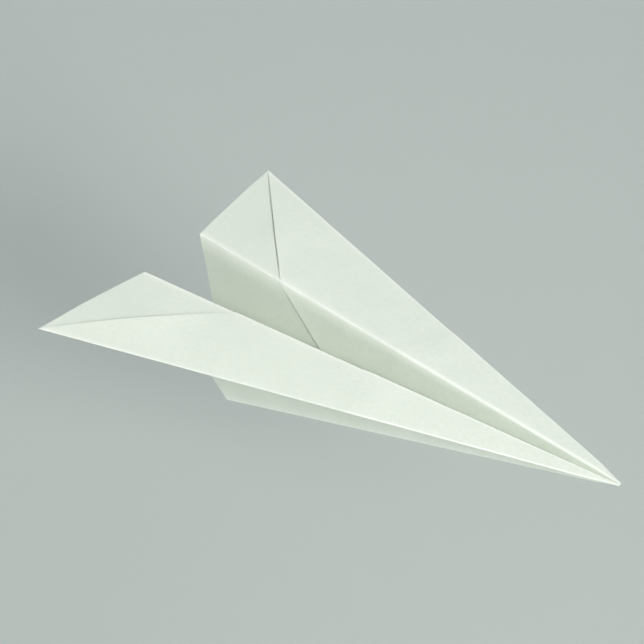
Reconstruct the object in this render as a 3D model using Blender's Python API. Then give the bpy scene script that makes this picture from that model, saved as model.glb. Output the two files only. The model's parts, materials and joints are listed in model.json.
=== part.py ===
"""Paper dart: one square sheet of paper folded into a keel of two walls and two swept wings.

Sheet coordinates describe the paper before it is folded. The nose is at (0, 0), x runs back along the centre
line and y runs out to the side edge. Every crease is a straight ray from the nose, so each facet of the folded
sheet is a flat wedge between two rays, ended by an edge of the sheet. Both halves fold alike, so the outlines
are worked out once for the half at +y, the right half, and mirrored for the left half at -y.
In the model +X is forward, +Y is the left wing's side, +Z is up, and the keel stands on z = 0.
"""

from math import atan2, cos, pi, radians, sin, tan

import bmesh
import bpy
from mathutils import Matrix, Vector

# Driving dimensions, in metres and radians.
SHEET_SIDE = 0.250
PAPER = 0.0001
PLY_GAP = 0.00012
WALL_TILT = radians(12.0)
WING_DROOP = radians(4.0)
CREASE_SETBACK = 0.00025
NOSE_TRIM = 0.003

# The sheet's outer face shows on the keel and under the wings, and its inner face on top of them.
OUTER_FACE_WHITE = (0.82, 0.84, 0.80, 1.0)
INNER_FACE_WHITE = (0.87, 0.88, 0.85, 1.0)
PAPER_ROUGHNESS = 0.85

# The plies in the order they lie on each other, from the outside in.
PLIES = ("skin", "corner", "flap", "cover")

# Sizes that follow from the driving ones.
HALF_WIDTH = SHEET_SIDE / 2
LEADING_EDGE = atan2(HALF_WIDTH, SHEET_SIDE)
FIRST_FOLD = 2 * LEADING_EDGE
WING_CREASE = 2 * FIRST_FOLD - pi / 2
PLY_PITCH = PAPER + PLY_GAP
KEEL_HALF_WIDTH = len(PLIES) * PLY_PITCH
KEEL_SETBACK = KEEL_HALF_WIDTH * tan(WALL_TILT)
WING_FOLD = pi / 2 - WALL_TILT + WING_DROOP


def on_ray(angle, distance):
    """The sheet point at this distance from the nose, on the ray at this angle to the centre line."""
    return Vector((distance * cos(angle), distance * sin(angle)))


def folded_over(point, angle):
    """Where a sheet point lands when the paper is folded over along the ray at this angle."""
    along = point.dot(on_ray(angle, 1))
    return 2 * on_ray(angle, along) - point


def meeting(first_point, first_direction, second_point, second_direction):
    """Where two lines on the sheet meet."""
    between = second_point - first_point
    share = between.cross(second_direction) / first_direction.cross(second_direction)
    return first_point + share * first_direction


def facet_rears():
    """Each ply's rear edge on the keel wall and on the wing, from the lower ray to the higher one."""
    tail = Vector((SHEET_SIDE, 0))
    tip = Vector((SHEET_SIDE, HALF_WIDTH))
    fold_end = Vector((HALF_WIDTH / tan(FIRST_FOLD), HALF_WIDTH))
    corner = folded_over(Vector((0, HALF_WIDTH)), FIRST_FOLD)
    flap_edge_end = meeting(corner, fold_end - corner, Vector((0, 0)), on_ray(LEADING_EDGE, 1))
    centre_end = folded_over(fold_end, LEADING_EDGE)
    keel_edges = {
        "skin": (tail, tip - tail),
        "flap": (centre_end, flap_edge_end - centre_end),
        "cover": (centre_end, tip - centre_end),
    }
    wing_edges = {**keel_edges, "corner": (corner, flap_edge_end - corner)}
    return keel_edges, wing_edges


def facet_outline(low_ray, high_ray, setbacks, rear):
    """The wedge between two rays, each side moved in by its setback, with its nose cut square."""
    low = (setbacks[0] * on_ray(low_ray + pi / 2, 1), on_ray(low_ray, 1))
    high = (setbacks[1] * on_ray(high_ray - pi / 2, 1), on_ray(high_ray, 1))
    front = (Vector((NOSE_TRIM, 0)), Vector((0, 1)))
    return [
        meeting(*low, *front),
        meeting(*low, *rear),
        meeting(*high, *rear),
        meeting(*high, *front),
    ]


def paper_material(name, colour):
    material = bpy.data.materials.new(name)
    material.use_nodes = True
    shader = material.node_tree.nodes["Principled BSDF"]
    shader.inputs["Base Color"].default_value = colour
    shader.inputs["Roughness"].default_value = PAPER_ROUGHNESS
    shader.inputs["Metallic"].default_value = 0.0
    return material


def add_facet(name, parent, outline, height, colour):
    """One facet: its outline, raised to its height over the hinge axis, and as thick as the paper."""
    shape = bmesh.new()
    face = shape.faces.new([shape.verts.new((point.x, point.y, height)) for point in outline])
    extruded = bmesh.ops.extrude_face_region(shape, geom=[face])
    upper = [item for item in extruded["geom"] if isinstance(item, bmesh.types.BMVert)]
    bmesh.ops.translate(shape, verts=upper, vec=(0, 0, PAPER))
    bmesh.ops.recalc_face_normals(shape, faces=shape.faces)
    mesh = bpy.data.meshes.new(name)
    shape.to_mesh(mesh)
    shape.free()
    facet = bpy.data.objects.new(name, mesh)
    bpy.context.scene.collection.objects.link(facet)
    facet.data.materials.append(paper_material(name, colour))
    facet.parent = parent


def add_hinge(name, parent, matrix):
    hinge = bpy.data.objects.new(name, None)
    bpy.context.scene.collection.objects.link(hinge)
    hinge.parent = parent
    hinge.matrix_local = matrix
    return hinge


def ply_colour(ply):
    return OUTER_FACE_WHITE if ply == "skin" else INNER_FACE_WHITE


def keel_frame(half, nose_x):
    """The frame of one keel wall on the keel's axis: x back, y in the wall and z in to the other wall."""
    back = Vector((-1, 0, 0))
    across = half * Vector((0, -half * sin(WALL_TILT), cos(WALL_TILT)))
    inwards = Vector((0, half * cos(WALL_TILT), sin(WALL_TILT)))
    axes = Matrix((back, across, inwards)).transposed().to_4x4()
    return Matrix.Translation((nose_x, 0, 0)) @ axes


def wing_frame(half):
    """The frame of one wing on its crease's axis, under the skin: x back along the crease, z up."""
    on_axis = Matrix.Translation((0, 0, -KEEL_HALF_WIDTH - PLY_GAP))
    along_crease = Matrix.Rotation(half * WING_CREASE, 4, "Z")
    folded = Matrix.Rotation(-half * WING_FOLD, 4, "X")
    return on_axis @ along_crease @ folded


def turned(outline, half, angle):
    """The outline on this half of the sheet, turned back by the angle so that its crease lies along x."""
    turn = Matrix.Rotation(-half * angle, 2)
    return [turn @ Vector((point.x, half * point.y)) for point in outline]


def add_side(half, side_name, nose_x):
    """One half of the folded sheet. half is 1 for the right and -1 for the left."""
    keel_edges, wing_edges = facet_rears()
    keel = add_hinge(f"{side_name}_keel_hinge", None, keel_frame(half, nose_x))
    wing = add_hinge(f"{side_name}_wing_hinge", keel, wing_frame(half))
    for level, ply in enumerate(PLIES):
        if ply in keel_edges:
            outline = facet_outline(0, WING_CREASE, (KEEL_SETBACK, CREASE_SETBACK), keel_edges[ply])
            height = level * PLY_PITCH - KEEL_HALF_WIDTH
            name = f"{side_name}_keel_{ply}"
            add_facet(name, keel, turned(outline, half, 0), height, ply_colour(ply))
        setbacks = (CREASE_SETBACK, CREASE_SETBACK)
        outline = facet_outline(WING_CREASE, LEADING_EDGE, setbacks, wing_edges[ply])
        height = level * PLY_PITCH + PLY_GAP
        name = f"{side_name}_wing_{ply}"
        add_facet(name, wing, turned(outline, half, WING_CREASE), height, ply_colour(ply))


def tip_behind_nose():
    """How far behind the nose the folded wing's tip lies, along X."""
    tip = Matrix.Rotation(-WING_CREASE, 2) @ Vector((SHEET_SIDE, HALF_WIDTH))
    return tip.x * cos(WING_CREASE) - tip.y * cos(WING_FOLD) * sin(WING_CREASE)


def main():
    for thing in list(bpy.data.objects):
        bpy.data.objects.remove(thing, do_unlink=True)
    nose_x = (tip_behind_nose() + NOSE_TRIM) / 2
    add_side(-1, "left", nose_x)
    add_side(1, "right", nose_x)


main()
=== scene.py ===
"""The looks of the paper dart: one sheet of off-white paper, creased and sprung, held over a plain floor.

Sheet coordinates are those of the folded paper pressed flat: the nose at (0, 0), x back along the centre
line and y up the keel's wall and out along the wing. Each ply is a thin closed solid over those coordinates,
bent where a crease crosses it. half is 1 for the right side, at -Y, and -1 for the left. Lengths are metres.
"""

import json
from math import atan2, cos, exp, pi, radians, sin, tan

import bmesh
import bpy
from mathutils import Matrix, Vector


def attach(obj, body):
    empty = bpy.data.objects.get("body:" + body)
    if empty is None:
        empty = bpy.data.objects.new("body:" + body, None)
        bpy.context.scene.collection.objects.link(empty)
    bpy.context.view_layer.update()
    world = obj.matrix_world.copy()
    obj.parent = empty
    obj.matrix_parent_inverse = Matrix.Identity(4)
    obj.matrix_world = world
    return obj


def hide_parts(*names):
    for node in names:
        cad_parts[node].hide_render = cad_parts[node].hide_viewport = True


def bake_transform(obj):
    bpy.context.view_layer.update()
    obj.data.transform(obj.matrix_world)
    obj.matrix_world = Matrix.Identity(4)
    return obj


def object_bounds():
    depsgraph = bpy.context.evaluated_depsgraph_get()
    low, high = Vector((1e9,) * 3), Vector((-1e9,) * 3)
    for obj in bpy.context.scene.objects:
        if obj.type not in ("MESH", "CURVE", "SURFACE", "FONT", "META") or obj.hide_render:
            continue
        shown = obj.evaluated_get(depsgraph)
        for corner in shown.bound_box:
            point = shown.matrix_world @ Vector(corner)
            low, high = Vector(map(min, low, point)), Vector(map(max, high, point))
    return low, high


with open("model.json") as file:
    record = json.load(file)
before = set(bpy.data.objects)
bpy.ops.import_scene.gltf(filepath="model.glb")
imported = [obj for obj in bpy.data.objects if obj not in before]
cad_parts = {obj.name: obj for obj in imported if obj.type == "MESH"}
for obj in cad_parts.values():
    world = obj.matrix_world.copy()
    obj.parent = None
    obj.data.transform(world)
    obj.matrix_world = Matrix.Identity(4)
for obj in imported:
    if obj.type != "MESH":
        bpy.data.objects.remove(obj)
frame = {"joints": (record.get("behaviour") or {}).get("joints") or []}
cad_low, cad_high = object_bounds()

# The folded sheet's driving dimensions, as the CAD model has them.
SHEET_SIDE = 0.250
PAPER = 0.0001
PLY_GAP = 0.00012
WALL_TILT = radians(12.0)
WING_DROOP = radians(4.0)
PLIES = ("skin", "corner", "flap", "cover")
HALVES = {"left": -1, "right": 1}

# Sizes that follow from them.
HALF_WIDTH = SHEET_SIDE / 2
LEADING_EDGE = atan2(HALF_WIDTH, SHEET_SIDE)
FIRST_FOLD = 2 * LEADING_EDGE
WING_CREASE = 2 * FIRST_FOLD - pi / 2
PLY_PITCH = PAPER + PLY_GAP
KEEL_HALF_WIDTH = len(PLIES) * PLY_PITCH
WING_FOLD = pi / 2 - WALL_TILT + WING_DROOP
JOINTS = {joint["name"]: joint for joint in frame["joints"]}
NOSE = Vector((JOINTS["left_wing_crease"]["pos_m"][0], 0, 0))

# How far the facets stop short of the wing crease, and of the first fold inside the keel.
CREASE_SETBACK = 0.00008
FIRST_FOLD_SETBACK = 0.65 * (PLY_PITCH + PAPER)

# At the nose the plies are pressed together, over this length and to this share of their spacing.
NOSE_PRESSED_LENGTH = 0.020
NOSE_PRESSED_SHARE = 0.46

# How folding has curved the paper: the wings up and the walls out, the keel's ridge as a share of its
# radius, and the height that the cover sinks to behind the flap's edge, and over what length.
WING_CAMBER = 0.0006
WALL_BOW = 0.0003
KEEL_PINCH = 0.35
SETTLED_HEIGHT = 1.4 * PLY_PITCH
SETTLE_LENGTH = 0.004

# How high the cover's raw edge springs up, how far ahead of it that fades, and the power of its arch.
WING_EDGE_LIFT = 0.0010
WALL_EDGE_LIFT = 0.0007
EDGE_LIFT_REACH = 0.010
EDGE_LIFT_ARCH = 0.8

# The waves that handling leaves: their height, and each one's weight, radians per metre back and out, start,
# and difference between the halves.
RIPPLE = 0.00018
RIPPLE_WAVES = ((1.0, 95, 31, 0.0, 1.3), (0.6, 43, -160, 2.1, -1.0))

# Mesh density, and the share of a ply's length at which its mesh starts, just behind the nose's point.
ROWS_ALONG = 56
COVER_ROWS_ALONG = 130
ROWS_ACROSS = 14
BEND_STEPS = 12
FOLD_STEPS = 10
NOSE_START = 0.004

# The power that keeps the lighter line beside a crease narrow: crease wear and painted highlight together.
WEAR_AND_HIGHLIGHT_SHARPNESS = 24

# The view, in degrees, metres and millimetres of sensor.
VIEW_AZIMUTH = 57.0
VIEW_ELEVATION = 24.0
VIEW_ROLL = 20.5
VIEW_DISTANCE = 2.6
VIEW_WIDTH = 0.262
SENSOR_WIDTH = 36.0

# The paper's colours: thick, thin (also the painted shade behind hidden plies), and a crease's wear with a
# painted highlight.
PAPER_COLOUR = (0.79, 0.847, 0.758)
PAPER_THIN_AND_SHADE_COLOUR = (0.69, 0.75, 0.655)
# Creases are lighter: partly the whitening of worn fibres, partly a painted highlight.
CREASE_WEAR_AND_HIGHLIGHT_COLOUR = (0.90, 0.935, 0.87)
CREASE_WEAR_AND_HIGHLIGHT = 0.75
SLOT_TINTS = {"paper_outer": 0.985, "paper_inner": 1.0}

# How much painted shade, in the thin paper's tone, falls behind where a hidden ply has ended, and how
# sharply, in sheet sides.
SHOW_THROUGH_SHADE = {"corner": 0.10, "flap": 0.16, "cover": 0.22}
SHOW_THROUGH_SHADE_BLUR = 0.0012

# Noises over the sheet: scale, detail, roughness, and the stretch that draws them out into fibres.
EVEN = (1, 1, 1)
NOISES = {
    "cockle": (13, 2.0, 0.4, EVEN),
    "clouds": (9, 5.0, 0.55, EVEN),
    "formation": (110, 4.0, 0.6, EVEN),
    "fibres": (260, 3.0, 0.7, (0.35, 1.6, 1)),
    "cross_fibres": (240, 3.0, 0.7, (1.5, 0.4, 1)),
    "tooth": (900, 2.0, 0.55, EVEN),
}

# Which noises thin the paper's tone, between which two values, and how much.
TONES = (("clouds", 0.35, 0.7, 0.45), ("formation", 0.45, 0.75, 0.5), ("fibres", 0.66, 0.8, 0.4))

# Which noises raise the surface, how much against each other, and how much in all.
RELIEF = {"fibres": 0.5, "cross_fibres": 0.4, "tooth": 0.35, "formation": 0.8, "cockle": 3.0}
RELIEF_STRENGTH = 0.55
RELIEF_DEPTH = 0.00022

# The paper's finish.
PAPER_ROUGHNESS = (0.78, 0.92)
SPECULAR_LEVEL = 0.28
SHEEN_WEIGHT = 0.06
SHEEN_ROUGHNESS = 0.6

# The floor and the light. Each light has its place, size, spread in degrees, power in watts and colour.
FLOOR_COLOUR = (0.6, 0.65, 0.61)
FLOOR_ROUGHNESS = 0.9
FLOOR_DROP = 0.13
FLOOR_REACH = 6.0
LIGHT_AIM = (0, 0, 0.03)
LIGHTS = {
    "key": ((2.7, -1.05, 0.84), 0.6, 26, 2.15, (1.0, 0.98, 0.95)),
    "fill": ((-0.9, 1.9, 2.6), 2.4, 180, 34.0, (0.95, 0.98, 1.0)),
    "side": ((0.7, -2.5, 0.25), 1.0, 40, 0.9, (1.0, 1.0, 1.0)),
}
SKY_COLOUR = (0.92, 0.96, 1.0)
SKY_STRENGTH = 0.35


# ---------------------------------------------------------------- the folded sheet


def on_ray(angle, distance):
    """The sheet point this far from the nose, at this angle to the centre line."""
    return Vector((distance * cos(angle), distance * sin(angle)))


def folded_over(point, angle):
    """Where a sheet point lands when the paper is folded over along the ray at this angle."""
    return 2 * on_ray(angle, point.dot(on_ray(angle, 1))) - point


def on_edge_at_ray(start, end, angle):
    """Where the straight edge through two sheet points crosses the ray at this angle."""
    normal = on_ray(angle + pi / 2, 1)
    share = start.dot(normal) / (start.dot(normal) - end.dot(normal))
    return start + share * (end - start)


# Where the centre line, the wing and the folds end, and the raw edge that ends each ply.
TAIL = Vector((SHEET_SIDE, 0))
TIP = Vector((SHEET_SIDE, HALF_WIDTH))
FOLD_END = Vector((HALF_WIDTH / tan(FIRST_FOLD), HALF_WIDTH))
CENTRE_END = folded_over(FOLD_END, LEADING_EDGE)
CORNER = folded_over(Vector((0, HALF_WIDTH)), FIRST_FOLD)
FLAP_END = on_edge_at_ray(CORNER, FOLD_END, LEADING_EDGE)
RAW_EDGES = {
    "skin": (TAIL, TIP),
    "corner": (CORNER, FLAP_END),
    "flap": (CENTRE_END, FLAP_END),
    "cover": (CENTRE_END, TIP),
}


def smooth_step(value):
    """0 up to 0, 1 from 1 on, and a smooth curve between."""
    value = min(max(value, 0.0), 1.0)
    return value * value * (3 - 2 * value)


def rearward(edge):
    """The direction that leads off the ply over a raw edge, square to it."""
    along = (edge[1] - edge[0]).normalized()
    return Vector((along.y, -along.x)) if along.y > 0 else Vector((-along.y, along.x))


def distance_ahead(point, edge):
    """How far a sheet point lies ahead of a raw edge. It is negative behind the edge."""
    return (edge[0] - point).dot(rearward(edge))


def nose_share(point):
    """The plies are pressed together towards the nose, where every crease meets."""
    pressed = smooth_step(point.length / NOSE_PRESSED_LENGTH)
    return NOSE_PRESSED_SHARE + (1 - NOSE_PRESSED_SHARE) * pressed


def height_of(ply, point):
    """How high a ply's lower face is over the skin's. The cover settles behind the flap's edge."""
    height = PLIES.index(ply) * PLY_PITCH
    if ply == "cover":
        settled = smooth_step(-distance_ahead(point, RAW_EDGES["flap"]) / SETTLE_LENGTH)
        height += settled * (SETTLED_HEIGHT - height)
    return height


def share_across(point, low_ray, high_ray):
    """0 on the lower ray, 1 on the higher one."""
    angle = atan2(point.y, point.x)
    return min(max((angle - low_ray) / (high_ray - low_ray), 0.0), 1.0)


def ripple(half, point, across):
    """Faint waves that handling leaves in the sheet, none on the creases."""
    wave = 0.0
    for weight, back, out, start, difference in RIPPLE_WAVES:
        wave += weight * sin(back * point.x + out * point.y + start + difference * half)
    return RIPPLE * sin(pi * across) * wave * point.x / SHEET_SIDE


def lift(ply, point, across, most):
    """The cover's raw edge springs up from the ply under it, by this much at most."""
    if ply != "cover":
        return 0.0
    ahead = max(distance_ahead(point, RAW_EDGES["cover"]), 0.0)
    return most * sin(pi * across) ** EDGE_LIFT_ARCH * exp(-ahead / EDGE_LIFT_REACH)


def wall_frame(half):
    """Back along the keel, up the wall, and in from it to the other wall."""
    back = Vector((-1, 0, 0))
    up = Vector((0, -half * sin(WALL_TILT), cos(WALL_TILT)))
    inwards = Vector((0, half * cos(WALL_TILT), sin(WALL_TILT)))
    return back, up, inwards


def crease_frame(half):
    """Along the wing crease, across it in the wall's plane, and in from the wall."""
    back, up, inwards = wall_frame(half)
    along = cos(WING_CREASE) * back + sin(WING_CREASE) * up
    across = -sin(WING_CREASE) * back + cos(WING_CREASE) * up
    return along, across, inwards


def wall_point(half, point, height, ply="skin"):
    """A point of the keel's wall, this high over its outer face. Inner plies leave the first fold room."""
    back, up, inwards = wall_frame(half)
    across = share_across(point, 0, WING_CREASE)
    stretch = (point.x / SHEET_SIDE) ** 2
    bow = -WALL_BOW * sin(pi * across) * stretch + ripple(half, point, across)
    share = nose_share(point)
    offset = share * (height - KEEL_HALF_WIDTH) + bow + lift(ply, point, across, WALL_EDGE_LIFT)
    rise = point.y - share * CREASE_SETBACK * across
    if ply != "skin":
        rise += share * FIRST_FOLD_SETBACK * (1 - across)
    return NOSE + point.x * back + rise * up + offset * inwards


def bend_point(half, distance, height, turn, beyond):
    """A point of a ply's bend over the wing crease, turned this far down, and then this far straight on."""
    along, across, inwards = crease_frame(half)
    share = nose_share(on_ray(WING_CREASE, distance))
    axis = NOSE + distance * along - share * (KEEL_HALF_WIDTH + PLY_GAP) * inwards
    normal = cos(turn) * inwards + sin(turn) * across
    onwards = cos(turn) * across - sin(turn) * inwards
    return axis + share * ((height + PLY_GAP) * normal + beyond * onwards)


def wing_point(half, point, height, ply="skin"):
    """A point of the wing, this high over the wing's lower face."""
    along, across, inwards = crease_frame(half)
    outwards = cos(WING_FOLD) * across - sin(WING_FOLD) * inwards
    normal = cos(WING_FOLD) * inwards + sin(WING_FOLD) * across
    from_crease = point.dot(on_ray(WING_CREASE + pi / 2, 1))
    distance = point.dot(on_ray(WING_CREASE, 1))
    spread = share_across(point, WING_CREASE, LEADING_EDGE)
    stretch = (point.x / SHEET_SIDE) ** 2
    camber = WING_CAMBER * sin(pi * spread) * stretch + ripple(half, point, spread)
    share = nose_share(point)
    axis = NOSE + distance * along - share * (KEEL_HALF_WIDTH + PLY_GAP) * inwards
    offset = share * (height + PLY_GAP) + camber + lift(ply, point, spread, WING_EDGE_LIFT)
    return axis + (from_crease + share * CREASE_SETBACK * (1 - spread)) * outwards + offset * normal


# ---------------------------------------------------------------- closed paper solids


def paper_solid(name, lower, upper, sheet_points, creased_wear_and_highlight):
    """A closed solid between two grids of points. sheet_points give its texture place, and the last grid
    each point's crease wear and painted highlight.
    """
    shape = bmesh.new()
    uv_layer = shape.loops.layers.uv.new("sheet")
    # Per point, how much of the crease's lighter tone it takes: wear and a painted highlight.
    wear_and_highlight_layer = shape.verts.layers.float.new("wear_and_highlight")
    rows, columns = len(lower), len(lower[0])
    grids = []
    for grid in (lower, upper):
        made = [[shape.verts.new(point) for point in row] for row in grid]
        for row, vertices in enumerate(made):
            for column, vertex in enumerate(vertices):
                vertex[wear_and_highlight_layer] = creased_wear_and_highlight[row][column]
        grids.append(made)

    def face(cells, places, smooth):
        made = shape.faces.new(cells)
        made.smooth = smooth
        for loop, place in zip(made.loops, places):
            loop[uv_layer].uv = (place.x / SHEET_SIDE, place.y / SHEET_SIDE)

    for row in range(rows - 1):
        for column in range(columns - 1):
            around = [(row, column), (row, column + 1), (row + 1, column + 1), (row + 1, column)]
            places = [sheet_points[i][j] for i, j in around]
            face([grids[1][i][j] for i, j in around], places, True)
            face([grids[0][i][j] for i, j in reversed(around)], places[::-1], True)
    rim = [(0, column) for column in range(columns)]
    rim += [(row, columns - 1) for row in range(1, rows)]
    rim += [(rows - 1, column) for column in range(columns - 2, -1, -1)]
    rim += [(row, 0) for row in range(rows - 2, 0, -1)]
    for (i, j), (k, m) in zip(rim, rim[1:] + rim[:1]):
        cells = [grids[0][i][j], grids[0][k][m], grids[1][k][m], grids[1][i][j]]
        places = [sheet_points[i][j], sheet_points[k][m], sheet_points[k][m], sheet_points[i][j]]
        face(cells, places, False)
    for edge in shape.edges:
        edge.smooth = len({linked.smooth for linked in edge.link_faces}) == 1
    bmesh.ops.recalc_face_normals(shape, faces=shape.faces)
    mesh = bpy.data.meshes.new(name)
    shape.to_mesh(mesh)
    shape.free()
    piece = bpy.data.objects.new(name, mesh)
    bpy.context.scene.collection.objects.link(piece)
    return piece


def shares_back(count):
    """Even shares of the way from the nose to a raw edge, starting just behind the nose."""
    return [NOSE_START + (1 - NOSE_START) * (step / count) for step in range(count + 1)]


def shares_across(count):
    """Shares from 0 to 1, packed closer at both ends."""
    return [0.5 - 0.5 * cos(pi * step / count) for step in range(count + 1)]


def facet_piece(name, half, ply, place, low_ray, high_ray):
    """A nearly flat facet of one ply between two rays, from the nose to the ply's raw edge."""
    edge = RAW_EDGES[ply]
    low_end = on_edge_at_ray(*edge, low_ray)
    high_end = on_edge_at_ray(*edge, high_ray)
    rows = COVER_ROWS_ALONG if ply == "cover" else ROWS_ALONG
    sheet_points, lower, upper, wear_and_highlight = [], [], [], []
    for along in shares_back(rows):
        row = [along * low_end.lerp(high_end, across) for across in shares_across(ROWS_ACROSS)]
        sheet_points.append(row)
        lower.append([place(half, point, height_of(ply, point), ply) for point in row])
        upper.append([place(half, point, height_of(ply, point) + PAPER, ply) for point in row])
        # Crease wear and painted highlight, strongest beside both rays.
        wear_and_highlight.append([abs(2 * across - 1) ** WEAR_AND_HIGHLIGHT_SHARPNESS for across in shares_across(ROWS_ACROSS)])
    return paper_solid(name, lower, upper, sheet_points, wear_and_highlight)


def bend_piece(name, half, ply):
    """The rounded bend of one ply over the wing crease, from its wall facet to its wing facet."""
    end = on_edge_at_ray(*RAW_EDGES[ply], WING_CREASE).length
    turns = [(WING_FOLD * step / BEND_STEPS, 0.0) for step in range(BEND_STEPS + 1)]
    turns = [(0.0, -CREASE_SETBACK)] + turns + [(WING_FOLD, CREASE_SETBACK)]
    sheet_points, lower, upper, wear_and_highlight = [], [], [], []
    for share in shares_back(ROWS_ALONG):
        distance = share * end
        point = on_ray(WING_CREASE, distance)
        height = height_of(ply, point)
        lower.append([bend_point(half, distance, height, *turn) for turn in turns])
        upper.append([bend_point(half, distance, height + PAPER, *turn) for turn in turns])
        sheet_points.append([point + on_ray(WING_CREASE + pi / 2, height * turn) for turn, _ in turns])
        # The whole bend takes the crease's wear and painted highlight.
        wear_and_highlight.append([1.0] * len(turns))
    return paper_solid(name, lower, upper, sheet_points, wear_and_highlight)


def fold_piece(name, half, ray, plies, place, outward, end):
    """The half-round fold that joins two plies along a ray. outward is 1 above the ray and -1 below it."""
    sheet_points, lower, upper, wear_and_highlight = [], [], [], []
    for share in shares_back(ROWS_ALONG):
        point = share * end
        bottom = height_of(plies[0], point)
        radius = (height_of(plies[1], point) + PAPER - bottom) / 2
        middle = bottom + radius
        pressed = nose_share(point)
        inner_row, outer_row, places = [], [], []
        for step in range(FOLD_STEPS + 1):
            turn = pi * step / FOLD_STEPS
            for row, size in ((outer_row, radius), (inner_row, radius - PAPER)):
                beyond = pressed * size * sin(turn) * outward
                bent = point + on_ray(ray + pi / 2, beyond)
                row.append(place(half, bent, middle - size * cos(turn), plies[0]))
            places.append(point + on_ray(ray + pi / 2, radius * turn))
        lower.append(inner_row)
        upper.append(outer_row)
        sheet_points.append(places)
        # The whole fold takes the crease's wear and painted highlight.
        wear_and_highlight.append([1.0] * (FOLD_STEPS + 1))
    return paper_solid(name, lower, upper, sheet_points, wear_and_highlight)


def keel_piece():
    """The centre crease, round from one wall's lower edge to the other's, with a faint ridge pinched in."""
    start_turn = -pi / 2 + WALL_TILT
    steps = 2 * BEND_STEPS
    ridge = [1 - abs(2 * step / steps - 1) for step in range(steps + 1)]
    sheet_points, lower, upper, wear_and_highlight = [], [], [], []
    for share in shares_back(ROWS_ALONG):
        point = share * TAIL
        pressed = nose_share(point)
        outer_row, inner_row, places = [], [], []
        for step in range(steps + 1):
            turn = start_turn + (pi - 2 * WALL_TILT) * step / steps
            pinch = 1 + KEEL_PINCH * ridge[step] ** 2
            for row, inset in ((outer_row, 0.0), (inner_row, PAPER)):
                radius = pressed * (KEEL_HALF_WIDTH - inset) * pinch
                row.append(NOSE + Vector((-point.x, radius * sin(turn), -radius * cos(turn))))
            places.append(point + Vector((0, KEEL_HALF_WIDTH * turn)))
        lower.append(outer_row)
        upper.append(inner_row)
        sheet_points.append(places)
        # The keel's ridge takes the crease's wear and painted highlight.
        wear_and_highlight.append(ridge)
    return paper_solid("keel_crease_paper", lower, upper, sheet_points, wear_and_highlight)


# ---------------------------------------------------------------- materials


def opaque(colour, tint=1.0):
    """A colour with its alpha, darkened a little where tint is under 1."""
    return tuple(channel * tint for channel in colour) + (1.0,)


def noise(tree, sheet, scale, detail, roughness, stretch):
    """A noise texture over the sheet."""
    mapping = tree.nodes.new("ShaderNodeMapping")
    mapping.inputs["Scale"].default_value = stretch
    tree.links.new(sheet.outputs["UV"], mapping.inputs["Vector"])
    texture = tree.nodes.new("ShaderNodeTexNoise")
    texture.inputs["Scale"].default_value = scale
    texture.inputs["Detail"].default_value = detail
    texture.inputs["Roughness"].default_value = roughness
    tree.links.new(mapping.outputs["Vector"], texture.inputs["Vector"])
    return texture.outputs["Fac"]


def ramp(tree, value, low, high):
    """value from low to high becomes 0 to 1."""
    node = tree.nodes.new("ShaderNodeMapRange")
    node.inputs["From Min"].default_value = low
    node.inputs["From Max"].default_value = high
    tree.links.new(value, node.inputs["Value"])
    return node.outputs["Result"]


def mixed_colour(tree, share, first, second):
    """first where share is 0 and second where it is 1. Each is a colour or a socket."""
    node = tree.nodes.new("ShaderNodeMix")
    node.data_type = "RGBA"
    tree.links.new(share, node.inputs["Factor"])
    for socket, colour in (("A", first), ("B", second)):
        target = next(item for item in node.inputs if item.name == socket and item.type == "RGBA")
        if isinstance(colour, bpy.types.NodeSocket):
            tree.links.new(colour, target)
        else:
            target.default_value = colour
    return next(item for item in node.outputs if item.type == "RGBA")


def scaled(tree, value, factor):
    node = tree.nodes.new("ShaderNodeMath")
    node.operation = "MULTIPLY"
    node.inputs[1].default_value = factor
    tree.links.new(value, node.inputs[0])
    return node.outputs[0]


def summed(tree, first, second):
    node = tree.nodes.new("ShaderNodeMath")
    node.operation = "ADD"
    tree.links.new(first, node.inputs[0])
    tree.links.new(second, node.inputs[1])
    return node.outputs[0]


def shade_behind_edge(tree, sheet, edge):
    """1 behind a ply's raw edge and 0 ahead of it, over the whole sheet: the mask of the painted shade
    behind hidden plies.
    """
    direction = rearward(edge)
    dot = tree.nodes.new("ShaderNodeVectorMath")
    dot.operation = "DOT_PRODUCT"
    dot.inputs[1].default_value = (direction.x, direction.y, 0)
    tree.links.new(sheet.outputs["UV"], dot.inputs[0])
    place = edge[0].dot(direction) / SHEET_SIDE
    return ramp(tree, dot.outputs["Value"], place - SHOW_THROUGH_SHADE_BLUR, place + SHOW_THROUGH_SHADE_BLUR)


def paper_colour(tree, sheet, noises, tint):
    """Cloudy formation and flecks, painted shade behind where hidden plies have ended, and a lighter crease:
    wear and painted highlight.
    """
    colour = opaque(PAPER_COLOUR, tint)
    thin_and_shade = opaque(PAPER_THIN_AND_SHADE_COLOUR, tint)
    for name, low, high, share in TONES:
        thinner_and_shaded = scaled(tree, ramp(tree, noises[name], low, high), share)
        colour = mixed_colour(tree, thinner_and_shaded, colour, thin_and_shade)
    # Painted shade: darker behind each hidden ply's raw edge, as if light came through fewer plies there.
    for ply, share in SHOW_THROUGH_SHADE.items():
        thinner_and_shaded = scaled(tree, shade_behind_edge(tree, sheet, RAW_EDGES[ply]), share)
        colour = mixed_colour(tree, thinner_and_shaded, colour, thin_and_shade)
    # Lighter along creases and folds: the whitening of worn fibres, and a painted highlight.
    wear_and_highlight = tree.nodes.new("ShaderNodeAttribute")
    wear_and_highlight.attribute_name = "wear_and_highlight"
    worn_and_highlighted = scaled(tree, wear_and_highlight.outputs["Fac"], CREASE_WEAR_AND_HIGHLIGHT)
    return mixed_colour(tree, worn_and_highlighted, colour, opaque(CREASE_WEAR_AND_HIGHLIGHT_COLOUR))


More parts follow.
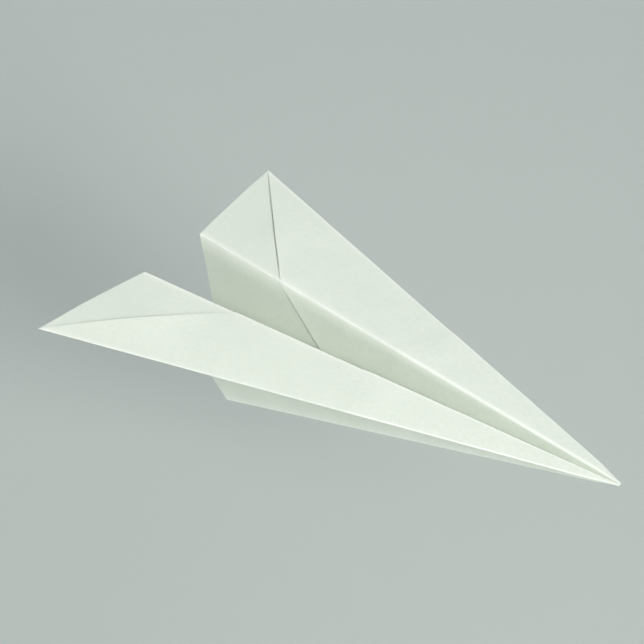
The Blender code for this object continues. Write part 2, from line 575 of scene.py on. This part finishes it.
def paper_normal(tree, noises):
    """The relief of fibres, tooth and slow unevenness."""
    parts = [scaled(tree, noises[name], weight) for name, weight in RELIEF.items()]
    relief = parts[0]
    for part in parts[1:]:
        relief = summed(tree, relief, part)
    bump = tree.nodes.new("ShaderNodeBump")
    bump.inputs["Strength"].default_value = RELIEF_STRENGTH
    bump.inputs["Distance"].default_value = RELIEF_DEPTH
    tree.links.new(relief, bump.inputs["Height"])
    return bump.outputs["Normal"]


def paper_roughness(tree, noises):
    """The paper is glossier where its fibres lie denser."""
    node = tree.nodes.new("ShaderNodeMapRange")
    node.inputs["To Min"].default_value, node.inputs["To Max"].default_value = PAPER_ROUGHNESS
    tree.links.new(noises["formation"], node.inputs["Value"])
    return node.outputs["Result"]


def paper_material(name, tint):
    """Plain uncoated paper, matt and slightly uneven."""
    material = bpy.data.materials.new(name)
    material.use_nodes = True
    tree = material.node_tree
    shader = tree.nodes["Principled BSDF"]
    sheet = tree.nodes.new("ShaderNodeUVMap")
    sheet.uv_map = "sheet"
    noises = {kind: noise(tree, sheet, *values) for kind, values in NOISES.items()}
    tree.links.new(paper_colour(tree, sheet, noises, tint), shader.inputs["Base Color"])
    tree.links.new(paper_roughness(tree, noises), shader.inputs["Roughness"])
    tree.links.new(paper_normal(tree, noises), shader.inputs["Normal"])
    shader.inputs["Specular IOR Level"].default_value = SPECULAR_LEVEL
    shader.inputs["Sheen Weight"].default_value = SHEEN_WEIGHT
    shader.inputs["Sheen Roughness"].default_value = SHEEN_ROUGHNESS
    return material


def floor_material():
    material = bpy.data.materials.new("floor")
    material.use_nodes = True
    shader = material.node_tree.nodes["Principled BSDF"]
    shader.inputs["Base Color"].default_value = opaque(FLOOR_COLOUR)
    shader.inputs["Roughness"].default_value = FLOOR_ROUGHNESS
    return material


PAPERS = {slot: paper_material(slot, tint) for slot, tint in SLOT_TINTS.items()}


def finish_piece(piece, slot):
    piece.data.materials.append(PAPERS[slot])


# ---------------------------------------------------------------- the dart


def make_wall(side, half, ply, slot):
    wall = facet_piece(f"{side}_keel_{ply}_paper", half, ply, wall_point, 0, WING_CREASE)
    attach(wall, f"{side}_keel")
    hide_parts(f"{side}_keel_{ply}")
    finish_piece(wall, slot)


def make_bend(side, half, ply, slot):
    bend = bend_piece(f"{side}_wing_crease_{ply}", half, ply)
    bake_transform(bend)
    finish_piece(bend, slot)


def make_wing(side, half, ply, slot):
    wing = facet_piece(f"{side}_wing_{ply}_paper", half, ply, wing_point, WING_CREASE, LEADING_EDGE)
    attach(wing, f"{side}_wing")
    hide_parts(f"{side}_wing_{ply}")
    finish_piece(wing, slot)


def make_leading_edge(side, half):
    """The two folds along a wing's leading edge, one inside the other."""
    name = f"{side}_leading_edge_fold"
    outer = fold_piece(name, half, LEADING_EDGE, ("skin", "cover"), wing_point, 1, TIP)
    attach(outer, f"{side}_wing")
    finish_piece(outer, "paper_outer")
    name = f"{side}_corner_fold"
    inner = fold_piece(name, half, LEADING_EDGE, ("corner", "flap"), wing_point, 1, FLAP_END)
    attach(inner, f"{side}_wing")
    finish_piece(inner, "paper_inner")


def make_first_fold(side, half):
    """The fold that was made first, which ends up along the keel inside the wall."""
    fold = fold_piece(f"{side}_first_fold", half, 0, ("flap", "cover"), wall_point, -1, CENTRE_END)
    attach(fold, f"{side}_keel")
    finish_piece(fold, "paper_inner")


def make_half(side, half):
    for ply in PLIES:
        slot = "paper_outer" if ply == "skin" else "paper_inner"
        if ply != "corner":
            make_wall(side, half, ply, slot)
            make_bend(side, half, ply, slot)
        make_wing(side, half, ply, slot)
    make_leading_edge(side, half)
    make_first_fold(side, half)


def make_keel():
    crease = keel_piece()
    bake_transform(crease)
    finish_piece(crease, "paper_outer")


# ---------------------------------------------------------------- the studio


def view_directions():
    """The camera's right, up and backward directions."""
    azimuth, elevation, roll = (radians(angle) for angle in (VIEW_AZIMUTH, VIEW_ELEVATION, VIEW_ROLL))
    backward = Vector((sin(azimuth) * cos(elevation), -cos(azimuth) * cos(elevation), sin(elevation)))
    level = Vector((cos(azimuth), sin(azimuth), 0))
    upright = backward.cross(level)
    right = cos(roll) * level - sin(roll) * upright
    up = sin(roll) * level + cos(roll) * upright
    return right, up, backward


def make_camera():
    """A long lens that looks at the middle of the dart's outermost points."""
    right, up, backward = view_directions()
    ends = [NOSE, wing_point(1, TIP, 0), wing_point(-1, TIP, 0), wall_point(1, TAIL, 0)]
    spans = [[end.dot(direction) for end in ends] for direction in (right, up)]
    middle = [(min(span) + max(span)) / 2 for span in spans]
    depth = (cad_low + cad_high).dot(backward) / 2
    target = middle[0] * right + middle[1] * up + depth * backward
    camera_data = bpy.data.cameras.new("camera")
    camera_data.sensor_width = SENSOR_WIDTH
    camera_data.lens = SENSOR_WIDTH * VIEW_DISTANCE / VIEW_WIDTH
    camera = bpy.data.objects.new("camera", camera_data)
    bpy.context.scene.collection.objects.link(camera)
    axes = Matrix((right, up, backward)).transposed().to_4x4()
    camera.matrix_world = Matrix.Translation(target + VIEW_DISTANCE * backward) @ axes
    bpy.context.scene.camera = camera


def make_floor():
    """A plain floor, so far below the dart that no pose reaches it."""
    mesh = bpy.data.meshes.new("floor")
    signs = ((-1, -1), (1, -1), (1, 1), (-1, 1))
    corners = [(x * FLOOR_REACH, y * FLOOR_REACH, -FLOOR_DROP) for x, y in signs]
    mesh.from_pydata(corners, [], [(0, 1, 2, 3)])
    mesh.materials.append(floor_material())
    floor = bpy.data.objects.new("floor", mesh)
    bpy.context.scene.collection.objects.link(floor)


def make_light(name, position, size, spread, power, colour):
    data = bpy.data.lights.new(name, "AREA")
    data.shape = "DISK"
    data.size = size
    data.spread = radians(spread)
    data.energy = power
    data.color = colour
    light = bpy.data.objects.new(name, data)
    bpy.context.scene.collection.objects.link(light)
    light.location = position
    aim = Vector(LIGHT_AIM) - Vector(position)
    light.rotation_euler = aim.to_track_quat("-Z", "Y").to_euler()


def make_sky():
    world = bpy.data.worlds.new("studio")
    world.use_nodes = True
    background = world.node_tree.nodes["Background"]
    background.inputs["Color"].default_value = opaque(SKY_COLOUR)
    background.inputs["Strength"].default_value = SKY_STRENGTH
    bpy.context.scene.world = world


make_keel()
for side_name, side_sign in HALVES.items():
    make_half(side_name, side_sign)
make_camera()
make_floor()
for light_name, light_values in LIGHTS.items():
    make_light(light_name, *light_values)
make_sky()
bpy.context.scene.view_settings.view_transform = "Standard"
